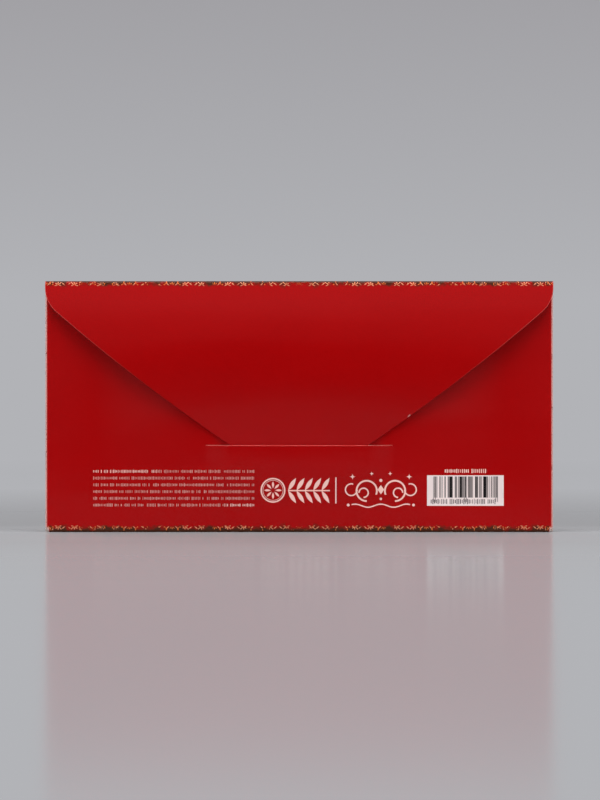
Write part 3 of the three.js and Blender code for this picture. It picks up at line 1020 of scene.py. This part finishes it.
# Small print on the back, from left to right: rows of plain ticks, ornaments, a panel with bars
TICKS_LEFT, TICKS_RIGHT, TICKS_TOP = -66.9, -14.4, 19.73
ROW_PITCH, ROW_COUNT = 2.19, 6
BADGE = (-8.5, 13.6)
SPRAY_LEFT, SPRAY_RIGHT, SPRAY_MIDDLE = -3.6, 9.95, 13.5
SPRAY_LEAVES, SPRAY_LEAF = 5, 4.9
DIVIDER_X, DIVIDER_BOTTOM, DIVIDER_TOP = 11.9, 9.3, 17.8
SCROLL_MIDDLE = (26.5, 13.4)
LABEL_LEFT, LABEL_RIGHT, LABEL_MIDDLE = 47.1, 60.9, 19.85
PANEL_LEFT, PANEL_RIGHT, PANEL_BOTTOM, PANEL_TOP = 41.5, 66.4, 8.55, 18.45
BARS_LEFT, BARS_RIGHT, BARS_BOTTOM, BARS_TOP = 43.4, 64.6, 11.2, 18.08
BAR_PITCH, GUARD_DROP = 0.33, 1.4
COUNT_LEFT, COUNT_RIGHT, COUNT_MIDDLE = 42.0, 63.7, 9.95


def ticks(x, z, row, pitch, height):
    """One row of upright ticks of uneven width and height, in uneven groups."""
    cell = (x / pitch).math("FLOOR")
    within = x / pitch - cell
    width = chance(cell, row * 3 + 11) * 0.35 + 0.3
    tall = (chance(cell, row * 5 + 2) * 0.45 + 0.75) * (height / 2)
    gap = under_limit(chance(cell, row * 7 + 5), 0.13, 0.01)
    stroke = under_limit(abs(within - 0.5), width * 0.5, 0.12)
    return stroke * under_limit(abs(z), tall) * (1 - gap)


def tick_rows(u, z):
    down = (TICKS_TOP + ROW_PITCH / 2 - z) / ROW_PITCH
    row = down.math("FLOOR")
    height = (down - row - 0.5) * ROW_PITCH
    inside = between(u, TICKS_LEFT, TICKS_RIGHT) * between(down, 0, ROW_COUNT)
    bold = either(
        under_limit(row, 0.5, 0.01) * under_limit(u, TICKS_LEFT + 21),
        over_limit(row, ROW_COUNT - 1.5, 0.01) * over_limit(u, TICKS_RIGHT - 9),
    )
    return inside * ticks(u, height, row, 0.5, 0.85) * (bold * 0.4 + 0.48)


def badge(u, z):
    x, y = u - BADGE[0], z - BADGE[1]
    return either(ring(x, y, 3.8, 0.45), leaves(x, y, 8, 0.5, 2.9, 0.38), ring(x, y, 3.25, 0.14))


def leafy_spray(u, z):
    along = u - SPRAY_LEFT
    y = abs(z - SPRAY_MIDDLE)
    inside = between(u, SPRAY_LEFT, SPRAY_RIGHT)
    stem = under_limit(y, 0.2)
    step = along.math("WRAP", (SPRAY_RIGHT - SPRAY_LEFT) / SPRAY_LEAVES, 0.0)
    return inside * either(stem, blade(*turned(step, y, math.radians(58)), SPRAY_LEAF, 0.68))


def sparkle(x, y, size):
    """A small star with four hollow sides."""
    root = abs(x).math("SQRT") + abs(y).math("SQRT")
    return under_limit(root, math.sqrt(size), 0.12)


def scrollwork(u, z):
    x, y = abs(u - SCROLL_MIDDLE[0]), z - SCROLL_MIDDLE[1]
    large = ring(x - 4.6, y, 3.3, 0.55) * either(over_limit(y, -1.2), over_limit(x, 4.6))
    curl = ring(x - 5.6, y + 0.6, 1.5, 0.45) * either(over_limit(y, -0.6), under_limit(x, 5.6))
    outer = ring(x - 9.6, y - 0.4, 1.9, 0.42) * either(under_limit(y, 0.4), over_limit(x, 9.0))
    heart = under_limit(x * 1.4 + abs(y - 0.4), 1.5)
    sway = (x * 0.75).math("COSINE") * 0.5
    tail = line_at(y - sway, -4.8, 0.4) * under_limit(x, 9.5)
    beads = either(disc(x - 10.6, y + 4.6, 0.45), disc(x, y + 2.6, 0.4), disc(x, y - 3.4, 0.5))
    stars = either(sparkle(x - 9.2, y - 4.6, 1.1), sparkle(x - 3.0, y - 5.6, 0.8))
    return either(large, curl, outer, heart, tail, beads, stars)


def bars(u, z):
    """Upright bars of uneven width over a row of ticks. They encode nothing."""
    cell = (u / BAR_PITCH).math("FLOOR")
    pair = (u / (BAR_PITCH * 2)).math("FLOOR")
    dark = over_limit(chance(cell, 4.0), 0.36, 0.02)
    grey = chance(pair, 9.0) * 0.7 + 0.45
    upright = between(u, BARS_LEFT, BARS_RIGHT) * between(z, BARS_BOTTOM, BARS_TOP)
    half_run = (BARS_RIGHT - BARS_LEFT) / 2
    guard = line_at(repeated(u - BARS_LEFT - 0.5, half_run / 2 - 0.25), 0.3, 0.3)
    long_guards = guard * between(u, BARS_LEFT, BARS_RIGHT) * between(z, BARS_BOTTOM - GUARD_DROP, BARS_TOP)
    count = ticks(u, z - COUNT_MIDDLE, 60, 0.56, 1.5) * between(u, COUNT_LEFT, COUNT_RIGHT)
    return either(dark * grey * upright, long_guards * 0.6, count * 0.9)


def back_print(tree, u, v):
    z = v_on_back(0) - v
    label = ticks(u, z - LABEL_MIDDLE, 40, 0.62, 1.15) * between(u, LABEL_LEFT, LABEL_RIGHT)
    divider = line_at(u, DIVIDER_X, 0.4) * between(z, DIVIDER_BOTTOM, DIVIDER_TOP)
    pale = either(tick_rows(u, z), label, divider, badge(u, z), leafy_spray(u, z), scrollwork(u, z))
    panel = between(u, PANEL_LEFT, PANEL_RIGHT) * between(z, PANEL_BOTTOM, PANEL_TOP)
    layers = ((PALE_INK, pale), (PANEL_WHITE, panel), (BAR_BLACK, bars(u, z)))
    return overprinted(border_print(tree, u, v), *layers)


def new_material(name):
    material = bpy.data.materials.new(name)
    material.use_nodes = True
    return material, material.node_tree, material.node_tree.nodes["Principled BSDF"]


def sheet_place(tree):
    """Where a point lies on the die sheet: as one vector, and across, up and through the card."""
    drawn = add_node(tree, "ShaderNodeAttribute", attribute_name="flat_mm").outputs["Vector"]
    return drawn, *parted(drawn)


def bumped(shader, height):
    """Gives a shader its relief, from a height in millimetres."""
    bump = add_node(shader.id_data, "ShaderNodeBump")
    bump.inputs["Distance"].default_value = MM
    feed(bump.inputs["Height"], height)
    feed(shader.inputs["Normal"], bump.outputs[0])


SIDE_CREASE = SIDE_FOLD_X + SIDE_FOLD_LENGTH / 2
TOP_CREASE = TOP_FOLD_CENTRE_Z + TOP_FOLD_RADIUS * math.pi / 2
BOTTOM_CREASE = BOTTOM_FOLD_TOP - BOTTOM_QUARTER / 2

# Gloss of the coat, and where the printed card is worn by rubbing, nicked and cracked, with a painted
# highlight along its cut edges
PANEL_GLOSS = 0.18
CREASE_GLOSS = 0.03
SIDE_WEAR_SHIFT = 0.35
SIDE_WEAR = {"reach": 0.64, "share": 0.8}
END_WEAR = {"reach": 0.4, "share": 0.42}
RUB_AND_HIGHLIGHT_REACH = 0.68
FLANK_RUB_AND_HIGHLIGHT_MIDDLE = 64.0
FLANK_RUB_AND_HIGHLIGHT_SPAN = 30.0
NICK_X = 35.6
NICK_WIDTH = 0.8
FOOT_WEAR = 0.42
SLIT_REACH = 1.5
SLIT_LESS_RUB_AND_HIGHLIGHT = 0.35


def flank_rub_and_highlight(u):
    """How much the flap's flanks show worn ink and a painted edge highlight: fully at the shoulders, not at
    all near the slit.
    """
    return over_limit(abs(u), FLANK_RUB_AND_HIGHLIGHT_MIDDLE, FLANK_RUB_AND_HIGHLIGHT_SPAN)


def coated_card(name, print_of, gloss=PANEL_GLOSS, is_flap=False):
    """Glossy printed card, with its print, the coat over it, the wear along folds and cuts, and a painted
    highlight along the cut edges.
    """
    material, tree, shader = new_material(name)
    place, u, v, under = sheet_place(tree)
    coat = placed(tree, gloss_coat, place=place)
    side_away = abs(abs(u) - SIDE_CREASE - SIDE_WEAR_SHIFT)
    side_wear = placed(tree, fold_wear, place=place, away=side_away, **SIDE_WEAR)
    end_away = abs(v - TOP_CREASE).math("MINIMUM", abs(v - BOTTOM_CREASE))
    end_wear = placed(tree, fold_wear, place=place, away=end_away, **END_WEAR)
    worn = either(Wire(side_wear["Worn"]), Wire(end_wear["Worn"]))
    from_cut = Wire(add_node(tree, "ShaderNodeAttribute", attribute_name="from_cut_mm").outputs["Fac"])
    # A pale line along the cut edges: partly ink worn off by rubbing, partly a painted highlight on the
    # edge
    rubbed_and_edge_highlight = under_limit(from_cut + Wire(coat["Tone"]) * 0.5, RUB_AND_HIGHLIGHT_REACH, 0.14)
    if is_flap:
        rubbed_and_edge_highlight = rubbed_and_edge_highlight * flank_rub_and_highlight(u)
        nick = line_at(u, NICK_X, NICK_WIDTH) * under_limit(from_cut, 0.45, 0.2)
        worn = either(worn, nick * 0.6)
    else:
        foot = over_limit(abs(u), FOOT_HALF_WIDTH) * under_limit(abs(v - BACK_START_V), 0.9)
        worn = either(worn, foot * under_limit(from_cut, FOOT_WEAR, 0.1))
        # Along the slit on the back this line is fainter: less worn ink and less painted highlight
        at_slit = under_limit(abs(v - v_on_back(SLIT_HEIGHT)), SLIT_REACH, 0.5)
        rubbed_and_edge_highlight = rubbed_and_edge_highlight * (1 - at_slit * SLIT_LESS_RUB_AND_HIGHLIGHT)
    colour = overprinted(print_of(tree, u, v), (RUBBED_INK_AND_EDGE_HIGHLIGHT, rubbed_and_edge_highlight), (WORN_INK, worn))
    feed(shader.inputs["Base Color"], shaded(colour, Wire(coat["Tone"])))
    feed(shader.inputs["Roughness"], Wire(coat["Roughness"]) + worn * 0.35)
    shader.inputs["Specular IOR Level"].default_value = gloss
    bumped(shader, Wire(coat["Height"]) - worn * 0.02)
    return material


def cut_edge(name, is_flap=False):
    """The core of the card at a knife cut, stained by the ink at the printed face."""
    material, tree, shader = new_material(name)
    place, u, v, under = sheet_place(tree)
    fibres = placed(tree, card_fibres, place=place, stretch=(1, 1, 6))
    stain = under_limit(under + Wire(fibres["Height"]) * 6, 0.3, 0.3)
    # On the flap the stained core fades to plain red ink towards the slit, together with the painted edge
    # highlight
    stained = inked(RED_INK, STAINED_CORE, flank_rub_and_highlight(u)) if is_flap else STAINED_CORE
    colour = inked(CARD_CORE, stained, stain)
    feed(shader.inputs["Base Color"], shaded(colour, Wire(fibres["Tone"])))
    shader.inputs["Roughness"].default_value = 0.9
    shader.inputs["Specular IOR Level"].default_value = 0.15
    bumped(shader, fibres["Height"])
    return material


def bare_card(name, place_of):
    """The unprinted face of the card."""
    material, tree, shader = new_material(name)
    fibres = placed(tree, card_fibres, place=place_of(tree), stretch=(1, 1, 1))
    ground = shaded(inked(BARE_CARD, CARD_CORE, Wire(fibres["Tone"]) * 0.2), Wire(fibres["Tone"]))
    feed(shader.inputs["Base Color"], ground)
    feed(shader.inputs["Roughness"], 1.6 - Wire(fibres["Tone"]) * 0.75)
    shader.inputs["Specular IOR Level"].default_value = 0.2
    bumped(shader, fibres["Height"])
    return material


def object_place(tree):
    """Where a point of a CAD piece lies, in millimetres."""
    coordinates = add_node(tree, "ShaderNodeTexCoord")
    return stretched(coordinates.outputs["Object"], [1 / MM] * 3)


def dried_glue():
    """A bead of glue, pressed flat: yellowish, glossy, with small bubbles and drag marks."""
    material, tree, shader = new_material("dried_glue")
    place = object_place(tree)
    drag = grain(place, 1.4, 3.0, stretch=(1, 1, 0.25))
    bubbles = under_limit(grain(place, 0.35, 1.0), 0.36, 0.05)
    ground = inked(DRIED_GLUE, BARE_CARD, bubbles * 0.6)
    feed(shader.inputs["Base Color"], shaded(ground, drag * 0.3 + 0.85))
    feed(shader.inputs["Roughness"], drag * 0.3 + 0.2)
    bumped(shader, drag * 0.04 - bubbles * 0.02)
    return material


edge_finish = cut_edge("cut_edge")
inner_finish = bare_card("bare_inner_face", lambda tree: sheet_place(tree)[0])
front_finishes = (coated_card("printed_front", front_print), edge_finish, inner_finish)
fold_finishes = (coated_card("printed_creases", border_print, CREASE_GLOSS), edge_finish, inner_finish)
back_finishes = (coated_card("printed_back", back_print), edge_finish, inner_finish)
flap_edge = cut_edge("flap_cut_edge", is_flap=True)
flap_finishes = (coated_card("printed_flap", border_print, is_flap=True), flap_edge, inner_finish)

pocket_pieces = {
    "front_panel": front_panel(front_finishes),
    "bottom_fold": bottom_fold(fold_finishes),
    "back_panel": back_panel(back_finishes),
    "left_fold": side_fold("left_fold_card", -1, fold_finishes),
    "right_fold": side_fold("right_fold_card", 1, fold_finishes),
}
flap_pieces = {
    "closing_flap": closing_flap(flap_finishes),
    "flap_tongue": flap_tongue(flap_finishes),
}
for body, pieces in (("pocket", pocket_pieces), ("flap", flap_pieces)):
    for node, piece in pieces.items():
        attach(piece, body)
        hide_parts(node)

fold = top_fold(fold_finishes)
in_frame((0, CARD / 2, TOP_FOLD_CENTRE_Z))
in_frame((0, bow_start[0], TOP_FOLD_CENTRE_Z))
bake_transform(fold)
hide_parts("top_fold")

# The glued tabs inside keep their CAD shapes
tab_finish = bare_card("bare_glue_tab", object_place)
glue_finish = dried_glue()
for side in ("left", "right"):
    for part, finish in (("glue_tab", tab_finish), ("glue_line", glue_finish)):
        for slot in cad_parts[f"{side}_{part}"].material_slots:
            slot.material = finish


# The stage: a pale glossy floor that fades into the backdrop, soft lamps and a dim studio.
# The floor's colour carries painted shade: a little darker just behind the object, and dark far in front of
# it, where the camera sees the pale backdrop instead.
BACKDROP_LOW = linear(178, 179, 183)
BACKDROP_HIGH = linear(162, 161, 165)
ROOM_DARK = (0.03, 0.03, 0.03)
ROOM_PALE = (0.5, 0.5, 0.51)
FLOOR_HALF = 3.0
FLOOR_GREY = (0.204, 0.205, 0.212)
FLOOR_MIRROR = 0.27
MIRROR_ROUGHNESS = 0.14
PAINTED_SHADE_BEHIND = 0.24
PAINTED_SHADE_IN_FRONT = 0.8

# Distances on the floor in metres, each with how softly the change there comes
GROUND_FADE = (0.31, 0.38)
FLOOR_FADE = (1.0, 0.4)
BEHIND_START = (0.03, 0.04)
BEHIND_END = (0.33, 0.3)
FAR_IN_FRONT = (-0.34, 0.14)
PALE_IN_FRONT = (-0.17, 0.2)


def mixed(tree, share, one, two):
    """One shader that turns into another by a share."""
    mix = add_node(tree, "ShaderNodeMixShader")
    for slot, value in zip(mix.inputs, (share, one, two)):
        feed(slot, value)
    return mix.outputs[0]


def camera_rays(tree):
    return Wire(add_node(tree, "ShaderNodeLightPath").outputs["Is Camera Ray"])


def floor():
    mesh = bpy.data.meshes.new("floor")
    f = FLOOR_HALF
    mesh.from_pydata([(-f, -f, 0), (f, -f, 0), (f, f, 0), (-f, f, 0)], [], [(0, 1, 2, 3)])
    material, tree, shader = new_material("glossy_floor")
    x, y = parted(add_node(tree, "ShaderNodeTexCoord").outputs["Object"])[:2]
    away = distance(x, y)
    behind = over_limit(y, *BEHIND_START) * under_limit(y, *BEHIND_END)
    # Painted shade: the floor's colour is darkened just behind the object and far in front of it
    tone = 1 - behind * PAINTED_SHADE_BEHIND - under_limit(y, *FAR_IN_FRONT) * PAINTED_SHADE_IN_FRONT
    feed(shader.inputs["Base Color"], shaded(FLOOR_GREY, tone))
    shader.inputs["Roughness"].default_value = 0.9
    shader.inputs["Specular IOR Level"].default_value = 0

    to_camera = camera_rays(tree)
    mirror = add_node(tree, "ShaderNodeBsdfGlossy")
    mirror.inputs["Color"].default_value = (1, 1, 1, 1)
    mirror.inputs["Roughness"].default_value = MIRROR_ROUGHNESS
    backdrop = add_node(tree, "ShaderNodeEmission")
    feed(backdrop.inputs["Color"], BACKDROP_LOW)
    pale = either(over_limit(away, *GROUND_FADE), under_limit(y, *PALE_IN_FRONT)) * to_camera
    ground = mixed(tree, pale, shader.outputs[0], backdrop.outputs[0])
    near = mixed(tree, FLOOR_MIRROR, ground, mirror.outputs[0])
    far = over_limit(away, *FLOOR_FADE) * to_camera
    whole = mixed(tree, far, near, backdrop.outputs[0])
    feed(tree.nodes["Material Output"].inputs["Surface"], whole)
    mesh.materials.append(material)
    made = bpy.data.objects.new("floor", mesh)
    bpy.context.scene.collection.objects.link(made)


def area_lamp(name, place, target, size, power, in_reflections=True):
    lamp = bpy.data.lights.new(name, "AREA")
    lamp.shape = "RECTANGLE"
    lamp.size, lamp.size_y = size
    lamp.energy = power
    made = bpy.data.objects.new(name, lamp)
    bpy.context.scene.collection.objects.link(made)
    made.visible_glossy = in_reflections
    made.location = place
    made.rotation_mode = "QUATERNION"
    made.rotation_quaternion = Vector(np.subtract(target, place)).to_track_quat("-Z", "Y")


# The studio by direction, each limit with how softly the change there comes. The gloss shows the
# room on the flap side: dark about its middle, paler beyond, palest at its sides and above.
DARK_MIDDLE = (0.085, 0.05)
PALE_SIDES = (0.095, 0.03)
PALE_ABOVE = (0.21, 0.12)
BEYOND_MIDDLE = 0.35
ROOM_REACH = (0.45, 0.2)
ROOM_SIDE = (-0.6, 0.2)
WALL_SIDE = (0.87, 0.12)
WALL_TOP = (0.33, 0.1)
BACKDROP_CLIMB = (1.9, 7.6)


def studio_world():
    """Dim all round for light and gloss, with a pale wall beyond the floor and the room on the
    flap side; plain to the camera."""
    world = bpy.data.worlds.new("studio")
    bpy.context.scene.world = world
    world.use_nodes = True
    tree = world.node_tree
    across, ahead, up = parted(add_node(tree, "ShaderNodeTexCoord").outputs["Generated"])

    wall = over_limit(ahead, *WALL_SIDE) * under_limit(up, *WALL_TOP)
    off_middle = distance(across, up)
    palest = either(over_limit(abs(across), *PALE_SIDES), over_limit(up, *PALE_ABOVE))
    glow = over_limit(off_middle, *DARK_MIDDLE) * BEYOND_MIDDLE + palest * (1 - BEYOND_MIDDLE)
    glow = glow * under_limit(off_middle, *ROOM_REACH) * under_limit(ahead, *ROOM_SIDE)
    room = tree.nodes["Background"]
    feed(room.inputs["Color"], overprinted(ROOM_DARK, (ROOM_PALE, glow), (BACKDROP_LOW, wall)))
    backdrop = add_node(tree, "ShaderNodeBackground")
    low, high = [math.sin(math.radians(angle)) for angle in BACKDROP_CLIMB]
    climb = over_limit(up, (low + high) / 2, high - low)
    feed(backdrop.inputs["Color"], inked(BACKDROP_LOW, BACKDROP_HIGH, climb))
    seen = mixed(tree, camera_rays(tree), room.outputs[0], backdrop.outputs[0])
    feed(tree.nodes["World Output"].inputs["Surface"], seen)


# The lamps: a softbox above, and low fills at the four corners that the gloss doesn't show
LAMPS_AIM = (0, 0, 0.04)
OVERHEAD_PLACE = (0, -0.19, 0.9)
OVERHEAD_SIZE = (1.0, 0.36)
OVERHEAD_POWER = 17
FILL_ACROSS, FILL_AWAY, FILL_HEIGHT = 0.8, 0.7, 0.35
FILL_SIZE = (0.6, 0.6)
FILL_POWER = 2.95
BACK_FILL_POWER = 7

floor()
studio_world()
area_lamp("overhead_softbox", OVERHEAD_PLACE, LAMPS_AIM, OVERHEAD_SIZE, OVERHEAD_POWER)
for row, away, power in (("fill", -FILL_AWAY, FILL_POWER), ("back_fill", FILL_AWAY, BACK_FILL_POWER)):
    for side, across in (("left", -FILL_ACROSS), ("right", FILL_ACROSS)):
        place = (across, away, FILL_HEIGHT)
        area_lamp(f"{side}_{row}", place, LAMPS_AIM, FILL_SIZE, power, in_reflections=False)

# The camera stands level, square to the envelope's back
PIXELS_PER_MM = 3.08
IMAGE_HEIGHT = 800
LENS = 135.0
SENSOR = 36.0
CAMERA_HEIGHT = 42.9
CAMERA_X = 0.26
camera_data = bpy.data.cameras.new("camera")
camera_data.lens = LENS
camera_data.sensor_width = SENSOR
camera = bpy.data.objects.new("camera", camera_data)
bpy.context.scene.collection.objects.link(camera)
camera_distance = LENS / SENSOR * IMAGE_HEIGHT / PIXELS_PER_MM
camera.location = (CAMERA_X * MM, (FRONT_Y - BACK_DEPTH - camera_distance) * MM, CAMERA_HEIGHT * MM)
camera.rotation_euler = (math.pi / 2, 0, 0)
bpy.context.scene.camera = camera
bpy.context.scene.view_settings.view_transform = "Standard"
